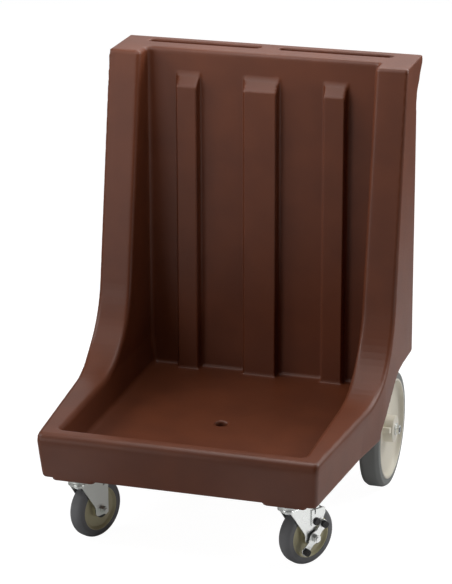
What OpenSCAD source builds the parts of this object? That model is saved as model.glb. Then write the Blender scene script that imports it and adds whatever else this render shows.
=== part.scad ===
// Glass rack dolly: a hollow one-piece moulded tray with a high winged backrest, carried on
// two large rear wheels on a fixed axle and on two swivel casters, one with a rocker brake.
// Millimetres, +Z up, the open front faces -Y. The origin is on the ground, under the middle
// of the outer box.

/* [Body] */
// Height of the top edge above the ground
body_h = 912; // [880:1:960]
// Depth from the front lip to the back of the handle bar
body_d = 718; // [690:1:760]
// Width across the rear half of the body
rear_w = 664; // [650:1:690]
// Width across the front lip
front_w = 590; // [575:1:630]
// Distance behind the front lip at which the sides reach their full width
flare_d = 420; // [320:1:440]
// How far the front face leans back towards its foot
front_draft = 14; // [4:1:20]
// How far each side leans in between the tray lip and the top
side_draft = 3; // [1:0.5:6]
// Height of the underside above the ground
underside_z = 152; // [150:1:168]
// Height of the top of the tray lip
lip_z = 252; // [240:1:275]
// Wall thickness of the hollow moulding
wall = 5.5; // [4.5:0.5:7]
// Rounding of the outer edges
edge_r = 9; // [7:0.5:13]

/* [Tray] */
// Height of the tray floor above the ground
floor_z = 186; // [182:1:196]
// Height of the upright band round the front of the lip, above the mould's parting line
lip_band = 20; // [12:1:40]
// Thickness of the front lip at its top
lip_t = 40; // [34:1:50]
// Width of the tray floor
tray_w = 500; // [480:1:504]
// How far each tray wall leans out between the floor and the lip
tray_draft = 8; // [2:1:10]
// Fillet round the tray floor
tray_r = 10; // [6:1:16]
// Diameter of the drain hole
drain_d = 26; // [16:1:40]
// Distance of the drain hole behind the front lip
drain_back = 320; // [260:1:420]

/* [Backrest] */
// Thickness between the back panel and the rear face
back_t = 43; // [32:1:50]
// Lean of the wing fronts from upright, in degrees
wing_lean = 9.5; // [6:0.5:12]
// Depth of the wings at the top, back to the handle bar
wing_top_d = 141; // [125:1:170]
// Radius of the sweep from the lip up into the wings
wing_sweep_r = 190; // [120:5:220]
// Depth of the ribs on the back panel
rib_depth = 23; // [12:1:30]
// Width of the middle rib
mid_rib_w = 74; // [50:1:100]
// Width of the two side ribs
side_rib_w = 47; // [30:1:70]
// Distance of the side ribs from the middle
side_rib_x = 164; // [130:1:190]
// How much wider each rib is at its root, on each side
rib_draft = 2.5; // [0.5:0.5:6]
// Height of the front top edge of the ribs
rib_top_z = 832; // [700:1:850]
// Rise of the sloping rib tops towards the panel
rib_top_rise = 26; // [10:1:40]

/* [Handle] */
// How far the handle bar stands out behind the rear face
handle_reach = 51; // [47:1:70]
// Height of the rear face of the handle bar
bar_h = 14; // [12:1:24]
// Depth of the handle bar behind the hand slots
bar_t = 25; // [20:1:28]
// Depth below the top at which the overhang leaves the rear face
overhang_h = 76; // [60:1:100]
// Fillet under the overhang
overhang_r = 40; // [20:1:60]
// Length of each hand slot
slot_len = 252; // [180:1:270]
// Width of each hand slot
slot_w = 22; // [18:0.5:25]
// Bridge between the two hand slots
slot_gap = 40; // [25:1:60]

/* [Rear wheels] */
// Diameter of the rear wheels
rear_wheel_d = 254; // [240:1:262]
// Width of the rear tyres
rear_tyre_w = 44; // [36:1:45]
// Diameter of the rear hub rims
rear_rim_d = 218; // [190:1:226]
// Distance of the rear axle in front of the rear face
axle_setback = 139; // [120:1:145]
// How far the rear hub rims lie inside the body's sides
wheel_recess = 9; // [9:0.5:16]
// Clearance between the tyre and the roof of its well
well_gap = 12; // [8:1:20]
// How far the edge of the arch cut in the side stands inside the well
arch_lip = 5; // [4:0.5:8]
// Slope of the front of the arch from level, in degrees
arch_slope = 32.5; // [28:0.5:38]
// Diameter of the rear axle
axle_d = 16; // [14:1:18]
// Diameter of the hub bosses
hub_boss_d = 60; // [44:1:70]
// How far the hub bosses stand out past the rims
hub_boss_proud = 6; // [4:1:16]
// Depth of the dish between the rim and the hub web
hub_dish = 18; // [10:1:22]

/* [Casters] */
// Diameter of the caster wheels
front_wheel_d = 127; // [115:1:130]
// Width of the caster wheels
front_wheel_w = 32; // [26:1:38]
// Diameter of the caster hub rims
front_rim_d = 93; // [80:1:100]
// Distance of each swivel axis from the middle
caster_x = 223; // [200:1:232]
// Distance of the swivel axes behind the foot of the front face
caster_back = 37; // [36:1:60]
// Trail of the caster axles behind the swivel axes
trail = 45; // [38:1:50]
// Swivel of the left caster from straight ahead, in degrees
left_swivel = 25; // [0:1:45]
// Swivel of the right caster from straight ahead, in degrees
right_swivel = 34; // [0:1:45]
// Length of the caster plates, across the dolly
plate_w = 76; // [74:1:90]
// Depth of the caster plates, front to back
plate_d = 62; // [60:1:66]
// Thickness of the caster plates
plate_t = 4; // [3:0.5:5]
// Diameter of the swivel raceway
race_d = 50; // [48:1:56]
// Thickness of the fork steel
fork_t = 3; // [2.5:0.5:4]
// Diameter of the caster axle bolts
bolt_d = 10; // [8:1:12]

/* [Brake] */
// Length of each arm of the brake rocker
rocker_arm = 34; // [30:1:38]
// Angle of the upper rocker arm above level, in degrees
rocker_angle = 46; // [35:1:55]
// Thickness of the brake rocker
rocker_t = 3; // [2:0.5:4]

/* [Hidden] */
$fn = 64;

// Finishes
body_colour = "#5c3a31";
ivory = "#bdb7a8";
khaki = "#8a8370";
light_rubber = "#6e706d";
dark_rubber = "#57575a";
zinc = "#b9bdb8";
steel = "#8f9296";
brass = "#b08d4a";
black = "#2a2a2a";
nylon = "#d8d2c0";

// Clearances and the overrun of cuts
over = 1;
running_gap = 0.05;
fit_gap = 0.05;
side_gap = 0.3;
seat_gap = 1;

// Sides, left and right
left = -1;
right = 1;
arc_step_deg = 9;

// Body places
front_y = -body_d / 2;
rear_y = body_d / 2;
rear_face_y = rear_y - handle_reach;
panel_y = rear_face_y - back_t;
lip_in_y = front_y + lip_t;
wing_top_y = rear_y - wing_top_d;
wing_foot_y = wing_top_y - (body_h - lip_z) * tan(wing_lean);
tray_half = tray_w / 2;
rack_half = tray_half + tray_draft;
slot_rear_y = rear_y - bar_t;
slot_end_r = slot_w / 2;

// Rear axle and wheel wells
axle_r = axle_d / 2;
axle_y = rear_face_y - axle_setback;
axle_z = rear_wheel_d / 2;
rim_out_x = rear_w / 2 - wheel_recess;
rim_proud = 1;
tyre_out_x = rim_out_x - rim_proud;
tyre_in_x = tyre_out_x - rear_tyre_w;
well_side_gap = 4;
well_in_gap = 6.5;
well_in_x = tyre_in_x - well_in_gap;
well_out_x = rim_out_x + well_side_gap;
well_r = rear_wheel_d / 2 + well_gap;
arch_reach = well_r - arch_lip;
arch_rise = 47;
arch_front_r = 20;
arch_top_r = 150;
arch_front_y = axle_y - arch_reach;
arch_front_z = axle_z + arch_rise;
arch_top_z = axle_z + arch_reach;
arch_top_y = arch_front_y + (arch_top_z - arch_front_z) / tan(arch_slope);

// Rear hub
rear_rim_r = rear_rim_d / 2;
rim_t = 6;
web_t = 7;
web_out_x = rim_out_x - hub_dish;
web_in_x = web_out_x - web_t;
hub_boss_r = hub_boss_d / 2;
hub_out_x = rim_out_x + hub_boss_proud;
hub_in_gap = 1.5;
hub_in_x = well_in_x + hub_in_gap;
hub_fin_t = 12;
hub_fin_reach = 16;
hub_fin_draft = 2;
hub_fin_turn = 15;
fin_out_x = rim_out_x + hub_boss_proud / 2;
bush_t = 3;
bush_share = 0.42;
bush_len = (hub_out_x - hub_in_x) * bush_share;
rear_bush_r = axle_r + running_gap + bush_t;
tread_flat_share = 0.62;
tread_drop = 5;

// Rear axle ends, brackets and their bolts
shoulder_x = hub_out_x + side_gap;
thread_share = 0.75;
thread_r = axle_r * thread_share;
washer_t = 2;
washer_rim = 5.5;
washer_r = axle_r + washer_rim;
nut_t = 7;
nut_rim = 3;
nut_r = axle_r + nut_rim;
thread_end = 2;
spacer_t = 4;
bracket_t = 5;
bracket_w = 56;
bracket_d = 104;
bracket_x = well_in_x - bracket_w / 2 - well_in_gap;
bracket_corner_r = 6;
web_plate_t = 6;
web_foot_share = 0.72;
axle_land = 10;
bracket_hole_x = 18;
bracket_hole_y = 40;
m8_r = 4;
m8_head_r = 7.5;
m8_head_h = 5.3;
insert_t = 2.5;
insert_len = 15;
post_t = 4;

// Vent plug in the underside
vent_r = 6;
plug_head_r = 9;
plug_head_t = 2.5;
plug_lip = 1;
vent_y = drain_back / 2 + front_y + drain_back;

// Caster mount
caster_y = front_y + front_draft + caster_back;
m6_r = 3;
m6_head_r = 5.8;
m6_head_h = 4;
plate_corner_r = 6;
plate_hole_edge = 8;
plate_hole_x = plate_w / 2 - plate_hole_edge;
plate_hole_y = plate_d / 2 - plate_hole_edge;
pad_rim = 4;
pad_h = 5;
pad_corner_r = plate_corner_r + pad_rim;

// Caster heights, from the underside down
plate_z = underside_z - plate_t;
seat_t = 4;
seat_z = plate_z - seat_t;
upper_ball_r = 3;
lower_ball_r = 2.5;
ball_gap = 0.1;
crown_top_z = seat_z - 2 * upper_ball_r - 2 * ball_gap;
crown_t = 4;
crown_z = crown_top_z - crown_t;
lower_race_top_z = crown_z - 2 * lower_ball_r - 2 * ball_gap;
lower_race_t = 4;
lower_race_z = lower_race_top_z - lower_race_t;
kingpin_r = 6;
kingpin_head_r = 10;
kingpin_head_t = 4;
race_r = race_d / 2;
skirt_t = 3;
skirt_top_z = seat_z - seat_gap;
race_neck = 6;
race_gap = 1.5;
upper_ball_ring_r = race_r - skirt_t - upper_ball_r - race_gap;
lower_ball_ring_r = kingpin_r + 2 * lower_ball_r;
lower_race_r = lower_ball_ring_r + 2 * lower_ball_r;
upper_ball_count = 12;
lower_ball_count = 9;

// Caster wheel, between the fork legs along the axle
wheel_z = front_wheel_d / 2;
front_rim_r = front_rim_d / 2;
bolt_r = bolt_d / 2;
guard_t = 3;
guard_r = 18;
guard_gap = 0.5;
leg_in = front_wheel_w / 2 + guard_gap + guard_t + guard_gap;
leg_out = leg_in + fork_t;
sleeve_t = 2.5;
sleeve_r = bolt_r + fit_gap + sleeve_t;
front_bush_r = sleeve_r + running_gap + bush_t;
front_boss_t = 6;
front_web_t = 6;
front_rim_t = 7;
tread_crown_share = 0.45;
tread_crown = (wheel_z - front_rim_r) * tread_crown_share;

// Fork: legs measured from the axle, front wall measured from the swivel axis
leg_fore = 20;
leg_aft = 16;
leg_foot = 11;
leg_foot_r = 7;
leg_crease = 19;
fork_front = 22;
fork_front_half = 19.5;
fork_front_r = 17;
front_wall_h = 8;
sweep_start = 13;
sweep_start_r = 14;
sweep_foot = 8;
sweep_foot_r = 24;
leg_slot_w = 3;
leg_slot_h = 10;
leg_slot_r = 1.4;
leg_slot_rise = 58;
leg_slot_aft = 3;
leg_slot_z = wheel_z + leg_slot_rise;
leg_slot_y = trail + leg_slot_aft;
bolt_head_r = 8.5;
bolt_head_t = 6;
bolt_nut_t = 8;
bolt_end = 2;

// Brake, outside the right fork leg
brake_plate_t = 2.5;
brake_plate_fore = 6;
brake_plate_foot = 24;
brake_plate_aft = 19;
brake_plate_shoulder = 48;
brake_plate_back = 30;
brake_plate_top = 60;
brake_plate_r = 5;
rocker_gap = 0.5;
cam_t = brake_plate_t + rocker_gap;
cam_r = 14;
cam_lobe = 4;
rocker_boss_r = 13;
rocker_half = 8;
rocker_rim = 1.5;
cam_in = leg_out + side_gap;
rocker_in = cam_in + cam_t;
rocker_out = rocker_in + rocker_t;
brake_pad_t = 7;
brake_pad_w = 17;
brake_pad_l = 14;
brake_pad_r = 6;
pad_groove_count = 3;
pad_groove_w = 1.6;
pad_groove_depth = 1.4;
stop_r = 8;
stop_proud = 1;
stop_clear = 0.6;
stop_angle = asin((brake_pad_w / 2 + rocker_rim + stop_r + stop_clear) / rocker_arm);

// Points u, v of a corner that also holds its rounding
function flat(corner) = [corner[0], corner[1]];

// Direction from one corner to the next
function heading(a, b) = (flat(b) - flat(a)) / norm(flat(b) - flat(a));

// A corner of a counter-clockwise outline moved inwards by d, with its rounding kept concentric
function moved_corner(a, b, c, d) =
    let (e = heading(a, b), f = heading(b, c), n = [-e[1], e[0]], m = [-f[1], f[0]])
    concat(flat(b) + (n + m) * d / (1 + n * m), [max(0, b[2] - sign(cross(e, f)) * d)]);

// The points of one corner: itself, or an arc tangent to both of its edges
function corner_points(a, b, c) =
    let (e = heading(a, b),
         f = heading(b, c),
         bend = atan2(cross(e, f), e * f),
         start = flat(b) - e * b[2] * tan(abs(bend) / 2),
         out = sign(bend) * [e[1], -e[0]],
         centre = start - out * b[2],
         first = atan2(out[1], out[0]),
         steps = max(1, ceil(abs(bend) / arc_step_deg)))
    b[2] == 0 ? [flat(b)]
              : [for (k = [0:steps]) let (t = first + bend * k / steps) centre + b[2] * [cos(t), sin(t)]];

// A closed outline from corners [u, v, rounding], listed counter-clockwise and moved inwards by d
function outline(corners, d = 0) =
    let (n = len(corners),
         moved = [for (i = [0:n - 1]) moved_corner(corners[(i + n - 1) % n], corners[i],
                                                   corners[(i + 1) % n], d)])
    [for (i = [0:n - 1]) each corner_points(moved[(i + n - 1) % n], moved[i], moved[(i + 1) % n])];

// A rectangle's corners about a middle point
function box_corners(u, v, w, h, r) =
    [[u - w / 2, v - h / 2, r], [u + w / 2, v - h / 2, r],
     [u + w / 2, v + h / 2, r], [u - w / 2, v + h / 2, r]];

// A side view (y, z) drawn out along x
module along_x(from, to) {
    translate([from, 0, 0])
        rotate([90, 0, 90])
            linear_extrude(to - from) children();
}

// A front view (x, z) drawn out along y
module along_y(from, to) {
    translate([0, to, 0])
        rotate([90, 0, 0])
            linear_extrude(to - from) children();
}

// A plan (x, y) drawn out along z
module along_z(from, to) {
    translate([0, 0, from])
        linear_extrude(to - from) children();
}

// A round bar along x
module bar_x(from, to, r) {
    translate([from, 0, 0])
        rotate([0, 90, 0])
            cylinder(h = to - from, r = r);
}

// A ring turned about x from a profile of points [radius, x]
module turned_x(points) {
    rotate([0, 90, 0])
        rotate_extrude() polygon(points);
}

// Copies a right-hand piece to the sides in the list
module on_sides(sides) {
    for (side = sides)
        mirror([side == left ? 1 : 0, 0, 0]) children();
}

// Side view of the outside: tray, sweep, wing, top, handle overhang and rear face
side_corners = [
    [front_y + front_draft, underside_z, edge_r],
    [rear_face_y, underside_z, edge_r],
    [rear_face_y, body_h - overhang_h, overhang_r],
    [rear_y, body_h - bar_h, edge_r / 2],
    [rear_y, body_h, edge_r / 2],
    [wing_top_y, body_h, edge_r],
    [wing_foot_y, lip_z, wing_sweep_r],
    [front_y, lip_z, edge_r],
    [front_y, lip_z - lip_band, 0]];

// Plan of the outside: narrow at the lip and flaring out to the rear
plan_corners = [
    [-front_w / 2, front_y, edge_r],
    [front_w / 2, front_y, edge_r],
    [rear_w / 2, front_y + flare_d, flare_d],
    [rear_w / 2, rear_y, edge_r],
    [-rear_w / 2, rear_y, edge_r],
    [-rear_w / 2, front_y + flare_d, flare_d]];

// Front view of the outside: the sides lean in above the tray lip
side_lean = side_draft / (body_h - lip_z);
side_foot_half = rear_w / 2 + side_lean * lip_z;
side_crest_half = rear_w / 2 - side_lean * body_h;
front_corners = [
    [-side_foot_half, 0, 0],
    [side_foot_half, 0, 0],
    [side_crest_half, body_h + lip_z, 0],
    [-side_crest_half, body_h + lip_z, 0]];

// Side view of the arch in the side: a straight slope in front, level over the wheel, open to the rear
arch_corners = [
    [arch_front_y, 0, 0],
    [rear_y + well_r, 0, 0],
    [rear_y + well_r, arch_top_z, 0],
    [arch_top_y, arch_top_z, arch_top_r],
    [arch_front_y, arch_front_z, arch_front_r]];

// Front view and side view of the space for the racks
rack_front_corners = [
    [-tray_half, floor_z, tray_r],
    [tray_half, floor_z, tray_r],
    [rack_half, lip_z, tray_r],
    [rack_half, body_h + lip_z, 0],
    [-rack_half, body_h + lip_z, 0],
    [-rack_half, lip_z, tray_r]];
rack_side_corners = [
    [lip_in_y + tray_draft, floor_z, tray_r],
    [panel_y, floor_z, tray_r],
    [panel_y, body_h + lip_z, 0],
    [lip_in_y, body_h + lip_z, 0],
    [lip_in_y, lip_z, 0]];

// One rib of the back panel, thinned by d on every side
module rib(x, w, d) {
    front = panel_y - rib_depth + d;
    half = w / 2 - d;
    top = rib_top_z - d;
    root = panel_y + wall + d;
    root_half = half + rib_draft;
    intersection() {
        along_z(floor_z - wall - over, body_h)
            polygon([[x - half, front], [x + half, front], [x + root_half, panel_y],
                     [x + root_half, root], [x - root_half, root], [x - root_half, panel_y]]);
        along_x(x - w, x + w)
            polygon([[front, floor_z - wall - over], [root, floor_z - wall - over],
                     [root, top + rib_top_rise], [panel_y, top + rib_top_rise], [front, top]]);
    }
}

// The rack space between lip, wings and back panel, grown by d, with the ribs left standing
module rack_space(d) {
    difference() {
        intersection() {
            along_y(front_y - body_d, rear_y) polygon(outline(rack_front_corners, -d));
            along_x(-rear_w, rear_w) polygon(outline(rack_side_corners, -d));
        }
        rib(0, mid_rib_w, d);
        rib(-side_rib_x, side_rib_w, d);
        rib(side_rib_x, side_rib_w, d);
    }
}

// The wheel wells, grown by d: round in front and over the top, open to the rear
module wells(d) {
    r = well_r + d;
    quarter = [for (t = [180:-arc_step_deg:90]) [axle_y + r * cos(t), axle_z + r * sin(t)]];
    on_sides([left, right])
        along_x(well_in_x - d, well_out_x + d)
            polygon(concat(quarter, [[rear_y + r, axle_z + r], [rear_y + r, 0], [axle_y - r, 0]]));
}

// The arches that open the wells through the sides
module arches() {
    on_sides([left, right])
        along_x(well_out_x - over, rear_w / 2 + over) polygon(outline(arch_corners));
}

// The two hand slots, grown by d
module hand_slots(d) {
    for (side = [left, right])
        along_z(body_h - 2 * overhang_h, body_h + over)
            polygon(outline(box_corners(side * (slot_gap + slot_len) / 2, slot_rear_y - slot_w / 2,
                                        slot_len, slot_w, slot_end_r - over), -d));
}

// The moulding as a full form moved inwards by d: 0 gives its outside, the wall gives its hollow
module body_form(d) {
    difference() {
        intersection() {
            along_x(-rear_w, rear_w) polygon(outline(side_corners, d));
            along_z(0, body_h + over) polygon(outline(plan_corners, d));
            along_y(-body_d, body_d) polygon(outline(front_corners, d));
        }
        rack_space(d);
        wells(d);
        hand_slots(d);
    }
}

// Places of the moulded-in inserts
module at_caster_holes() {
    for (side = [left, right], ix = [-1, 1], iy = [-1, 1])
        translate([side * caster_x + ix * plate_hole_x, caster_y + iy * plate_hole_y, 0]) children();
}

module at_bracket_holes() {
    for (side = [left, right], ix = [-1, 1], iy = [-1, 1])
        translate([side * bracket_x + ix * bracket_hole_x, axle_y + iy * bracket_hole_y, 0]) children();
}

// Upright bar between two heights
module post(from, to, r) {
    translate([0, 0, from])
        cylinder(h = to - from, r = r);
}

// The solid posts that tie floor and underside together round the inserts and the drain
module posts() {
    at_caster_holes() post(underside_z - over, floor_z, m6_r + insert_t + post_t);
    at_bracket_holes() post(underside_z - over, floor_z, m8_r + insert_t + post_t);
    translate([0, front_y + drain_back, 0])
        post(underside_z - over, floor_z, drain_d / 2 + wall);
}

// The raised rim moulded round each caster plate
module caster_pads() {
    pad_w = plate_w + 2 * seat_gap;
    pad_l = plate_d + 2 * seat_gap;
    for (side = [left, right])
        along_z(underside_z - pad_h, underside_z + wall / 2)
            difference() {
                polygon(outline(box_corners(side * caster_x, caster_y, pad_w + 2 * pad_rim,
                                            pad_l + 2 * pad_rim, pad_corner_r)));
                polygon(outline(box_corners(side * caster_x, caster_y, pad_w, pad_l, plate_corner_r)));
            }
}

// Hollow moulded body: tray, lip, wings, ribbed back, handle bar and wheel wells in one piece
module body_shell() {
    color(body_colour)
        difference() {
            union() {
                difference() {
                    body_form(0);
                    difference() {
                        body_form(wall);
                        posts();
                    }
                    arches();
                }
                caster_pads();
            }
            at_caster_holes() post(underside_z - over, underside_z + insert_len, m6_r + insert_t);
            at_bracket_holes() post(underside_z - over, underside_z + insert_len, m8_r + insert_t);
            translate([0, front_y + drain_back, 0])
                post(underside_z - over, floor_z + over, drain_d / 2);
            translate([0, vent_y, 0])
                post(underside_z - over, underside_z + 2 * wall, vent_r);
        }
}

// Push-in plug that closes the moulding's vent hole
module vent_plug() {
    color(body_colour)
        translate([0, vent_y, 0]) {
            post(underside_z - plug_head_t, underside_z, plug_head_r);
            post(underside_z - plug_head_t, underside_z + wall + plug_lip, vent_r - fit_gap);
        }
}

// Threaded insert of a bolt of radius r
module insert(r) {
    difference() {
        post(underside_z, underside_z + insert_len, r + insert_t);
        post(underside_z - over, underside_z + insert_len + over, r + fit_gap);
    }
}

module caster_inserts() {
    color(brass) at_caster_holes() insert(m6_r);
}

module bracket_inserts() {
    color(brass) at_bracket_holes() insert(m8_r);
}

// Hex bolt up through a plate of thickness t into its insert
module up_bolt(t, r, head_r, head_h) {
    translate([0, 0, underside_z - t - head_h])
        cylinder(h = head_h, r = head_r, $fn = 6);
    post(underside_z - t - head_h / 2, underside_z + insert_len - seat_gap, r);
}

module caster_bolts() {
    color(zinc) at_caster_holes() up_bolt(plate_t, m6_r, m6_head_r, m6_head_h);
}

module bracket_bolts() {
    color(zinc) at_bracket_holes() up_bolt(bracket_t, m8_r, m8_head_r, m8_head_h);
}

// Steel hanger under the body: a bolted foot and a web that holds the axle
module axle_bracket(side) {
    foot_z = underside_z - bracket_t;
    land_r = axle_r + axle_land;
    foot_half = bracket_d * web_foot_share / 2;
    web_corners = [
        [axle_y - land_r, axle_z - land_r, land_r], [axle_y + land_r, axle_z - land_r, land_r],
        [axle_y + foot_half, foot_z + bracket_t / 2, 0], [axle_y - foot_half, foot_z + bracket_t / 2, 0]];
    color(zinc)
        difference() {
            union() {
                along_z(foot_z, underside_z)
                    polygon(outline(box_corners(side * bracket_x, axle_y, bracket_w, bracket_d,
                                                bracket_corner_r)));
                translate([side * bracket_x, 0, 0])
                    along_x(-web_plate_t / 2, web_plate_t / 2) polygon(outline(web_corners));
            }
            at_bracket_holes() post(foot_z - over, underside_z + over, m8_r + side_gap);
            translate([side * bracket_x, axle_y, axle_z])
                bar_x(-web_plate_t, web_plate_t, axle_r + fit_gap);
        }
}

module left_axle_bracket() { axle_bracket(left); }

module right_axle_bracket() { axle_bracket(right); }

// Puts a right-hand piece drawn about the x axis on the rear axle, on both sides or on one
module on_axle(sides) {
    translate([0, axle_y, axle_z])
        on_sides(sides) children();
}

// Through axle with a threaded, shouldered end on each side
module rear_axle() {
    axle_end = shoulder_x + washer_t + nut_t + thread_end;
    color(steel)
        on_axle([right]) {
            bar_x(-shoulder_x, shoulder_x, axle_r);
            bar_x(-axle_end, axle_end, thread_r);
        }
}

// Spacer tubes between the brackets and the wheel hubs
module axle_spacers() {
    from = bracket_x + web_plate_t / 2;
    to = hub_in_x - side_gap;
    color(zinc)
        on_axle([left, right])
            difference() {
                bar_x(from, to, axle_r + spacer_t);
                bar_x(from - over, to + over, axle_r + fit_gap);
            }
}

module axle_washers() {
    color(zinc)
        on_axle([left, right])
            difference() {
                bar_x(shoulder_x, shoulder_x + washer_t, washer_r);
                bar_x(shoulder_x - over, shoulder_x + washer_t + over, thread_r + fit_gap);
            }
}

module axle_nuts() {
    from = shoulder_x + washer_t;
    color(zinc)
        on_axle([left, right])
            difference() {
                translate([from, 0, 0])
                    rotate([0, 90, 0])
                        cylinder(h = nut_t, r = nut_r, $fn = 6);
                bar_x(from - over, from + nut_t + over, thread_r + fit_gap);
            }
}

// Moulded rear hub: rim, dished web, long boss with two fins, bore for the bushes
module rear_hub(side) {
    rim_in_x = tyre_in_x - rim_proud;
    rim_bore_r = rear_rim_r - rim_t;
    fin_end_r = hub_boss_r + hub_fin_reach;
    color(ivory)
        on_axle([side])
            difference() {
                union() {
                    turned_x([[0, hub_in_x], [hub_boss_r, hub_in_x], [hub_boss_r, web_in_x],
                              [rim_bore_r, web_in_x], [rim_bore_r, rim_in_x],
                              [rear_rim_r, rim_in_x], [rear_rim_r, rim_out_x],
                              [rim_bore_r, rim_out_x], [rim_bore_r, web_out_x],
                              [hub_boss_r, web_out_x], [hub_boss_r, hub_out_x], [0, hub_out_x]]);
                    rotate([-hub_fin_turn, 0, 0])
                        along_z(-hub_fin_t / 2, hub_fin_t / 2)
                            polygon([[web_out_x - web_t / 2, -fin_end_r],
                                     [fin_out_x, hub_fin_draft - fin_end_r],
                                     [fin_out_x, fin_end_r - hub_fin_draft],
                                     [web_out_x - web_t / 2, fin_end_r]]);
                }
                bar_x(hub_in_x - over, hub_out_x + over, rear_bush_r);
            }
}

module left_rear_hub() { rear_hub(left); }

module right_rear_hub() { rear_hub(right); }

// Solid rubber tyre with a flat tread and sloping shoulders
module rear_tyre(side) {
    tread = rear_tyre_w * tread_flat_share / 2;
    mid_x = tyre_out_x - rear_tyre_w / 2;
    tread_r = rear_wheel_d / 2;
    color(light_rubber)
        on_axle([side])
            turned_x([[rear_rim_r, tyre_in_x], [tread_r - tread_drop, tyre_in_x],
                      [tread_r, mid_x - tread], [tread_r, mid_x + tread],
                      [tread_r - tread_drop, tyre_out_x], [rear_rim_r, tyre_out_x]]);
}

module left_rear_tyre() { rear_tyre(left); }

module right_rear_tyre() { rear_tyre(right); }

// Plain bushes pressed into both ends of a rear hub
module rear_bushes(side) {
    color(nylon)
        on_axle([side])
            for (from = [hub_in_x, hub_out_x - bush_len])
                difference() {
                    bar_x(from, from + bush_len, rear_bush_r);
                    bar_x(from - over, from + bush_len + over, axle_r + running_gap);
                }
}

module left_rear_bushes() { rear_bushes(left); }

module right_rear_bushes() { rear_bushes(right); }

// Puts a caster piece under its corner, turned by its swivel; local +y is the trail, +x the outside
module on_caster(side) {
    translate([side * caster_x, caster_y, 0])
        rotate([0, 0, side == left ? -left_swivel : -right_swivel]) children();
}

// Puts a piece drawn about the x axis on the caster's own axle
module on_caster_axle(side) {
    on_caster(side)
        translate([0, trail, wheel_z]) children();
}

// Steel top plate with the upper ball seat, square to the body
module caster_plate(side) {
    color(zinc)
        translate([side * caster_x, caster_y, 0])
            difference() {
                union() {
                    along_z(plate_z, underside_z)
                        polygon(outline(box_corners(0, 0, plate_w, plate_d, plate_corner_r)));
                    post(seat_z, underside_z - plate_t / 2, race_r - skirt_t - seat_gap);
                }
                for (ix = [-1, 1], iy = [-1, 1])
                    translate([ix * plate_hole_x, iy * plate_hole_y, 0])
                        post(plate_z - over, underside_z + over, m6_r + side_gap);
                post(seat_z - over, underside_z + over, kingpin_r + fit_gap);
            }
}

module left_caster_plate() { caster_plate(left); }

module right_caster_plate() { caster_plate(right); }

// Rivet that holds the fork up to the plate
module kingpin(side) {
    color(steel)
        on_caster(side) {
            post(lower_race_z - kingpin_head_t, lower_race_z, kingpin_head_r);
            post(lower_race_z - kingpin_head_t / 2, underside_z, kingpin_r);
        }
}

module left_kingpin() { kingpin(left); }

module right_kingpin() { kingpin(right); }

// Lower race washer, clamped by the kingpin's head
module lower_race(side) {
    color(zinc)
        on_caster(side)
            difference() {
                post(lower_race_z, lower_race_top_z, lower_race_r);
                post(lower_race_z - over, lower_race_top_z + over, kingpin_r + fit_gap);
            }
}

module left_lower_race() { lower_race(left); }

module right_lower_race() { lower_race(right); }

// A ring of loose balls
module ball_ring(side, z, ring_r, r, count) {
    color(steel)
        on_caster(side)
            for (k = [0:count - 1])
                rotate([0, 0, k * 360 / count])
                    translate([ring_r, 0, z]) sphere(r = r);
}

module upper_balls(side) {
    ball_ring(side, seat_z - upper_ball_r - ball_gap, upper_ball_ring_r, upper_ball_r, upper_ball_count);
}

module lower_balls(side) {
    ball_ring(side, crown_z - lower_ball_r - ball_gap, lower_ball_ring_r, lower_ball_r, lower_ball_count);
}

module left_upper_balls() { upper_balls(left); }

module right_upper_balls() { upper_balls(right); }

module left_lower_balls() { lower_balls(left); }

module right_lower_balls() { lower_balls(right); }

// Side view of the fork: a low wall in front, a sweep down to the axle and a blunt leg end
fork_side_corners = [
    [trail - leg_fore, wheel_z - leg_foot, leg_foot_r],
    [trail + leg_aft, wheel_z - leg_foot, leg_foot_r],
    [trail + leg_aft, crown_top_z, 0],
    [-fork_front - fork_t, crown_top_z, 0],
    [-fork_front - fork_t, crown_top_z - front_wall_h, 0],
    [-sweep_start, crown_top_z - front_wall_h, sweep_start_r],
    [trail - leg_fore, wheel_z + sweep_foot, sweep_foot_r]];

// Plan of the fork: parallel legs, creased inwards to a round front and open to the rear
fork_plan_corners = [
    [-fork_front_half, -fork_front, fork_front_r],
    [fork_front_half, -fork_front, fork_front_r],
    [leg_out, trail - leg_crease, 0],
    [leg_out, trail + leg_aft + 2 * fork_t, 0],
    [-leg_out, trail + leg_aft + 2 * fork_t, 0],
    [-leg_out, trail - leg_crease, 0]];

// Pressed steel fork: raceway dish, crown, and a wall swept down into two slotted legs
module fork(side) {
    color(zinc)
        on_caster(side)
            difference() {
                union() {
                    intersection() {
                        along_x(-leg_out, leg_out) polygon(outline(fork_side_corners));
                        union() {
                            along_z(0, crown_top_z)
                                difference() {
                                    polygon(outline(fork_plan_corners));
                                    polygon(outline(fork_plan_corners, fork_t));
                                }
                            along_z(crown_z, crown_top_z) polygon(outline(fork_plan_corners));
                        }
                    }
                    translate([0, 0, crown_z])
                        cylinder(h = crown_t, r1 = race_r - race_neck, r2 = race_r);
                    post(crown_top_z, skirt_top_z, race_r);
                }
                post(crown_top_z, skirt_top_z + over, race_r - skirt_t);
                post(crown_z - over, skirt_top_z, kingpin_r + running_gap);
                translate([0, trail, wheel_z])
                    bar_x(-leg_out - over, leg_out + over, bolt_r + fit_gap);
                along_x(-leg_out - over, leg_out + over)
                    polygon(outline(box_corners(leg_slot_y, leg_slot_z, leg_slot_w, leg_slot_h,
                                                leg_slot_r)));
            }
}

module left_fork() { fork(left); }

module right_fork() { fork(right); }

// Outer face of what the axle nut clamps: the leg alone, or the brake rocker
function nut_face(side) = side == left ? leg_out : rocker_out + side_gap;

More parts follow.
